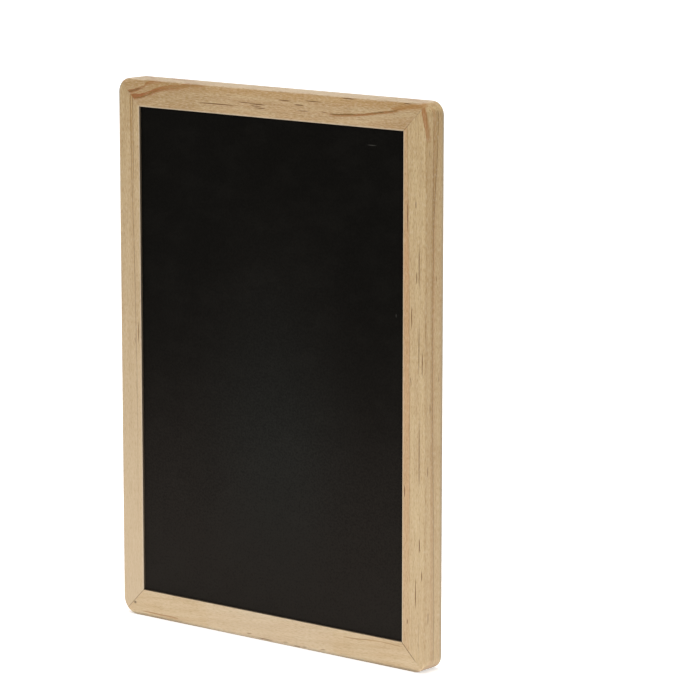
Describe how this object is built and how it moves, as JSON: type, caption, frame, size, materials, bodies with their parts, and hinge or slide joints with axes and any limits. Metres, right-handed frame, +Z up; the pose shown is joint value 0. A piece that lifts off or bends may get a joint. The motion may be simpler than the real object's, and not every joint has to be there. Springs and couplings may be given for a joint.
{
  "type": "double-sided writing board",
  "caption": "Small upright writing board in a mitred pine frame with rounded corners, black chalk panel in front and white dry-wipe panel behind.",
  "frame": {"origin": "centre of the board's bottom edge, half way between its front and back faces", "axes": "+Z up along the board's height, +X to the right as seen from the chalk side, -Y out of the chalk side and +Y out of the white side"},
  "size_m": [0.21, 0.015, 0.297],
  "materials": {
    "pine": "bare planed and sanded pine, fine straight grain, satin",
    "chalk_paint": "matt black chalkboard paint on fibreboard",
    "white_laminate": "glossy white dry-wipe laminate on hardboard",
    "fibreboard": "raw fibreboard core, matt",
    "beech_ply": "bare beech plywood, matt"
  },
  "bodies": {
    "root": {"top_rail": "pine", "bottom_rail": "pine", "left_stile": "pine", "right_stile": "pine", "chalk_sheet": "chalk_paint", "whiteboard_sheet": "white_laminate", "core_board": "fibreboard", "corner_spline_top_left": "beech_ply", "corner_spline_top_right": "beech_ply", "corner_spline_bottom_left": "beech_ply", "corner_spline_bottom_right": "beech_ply"}
  },
  "joints": []
}
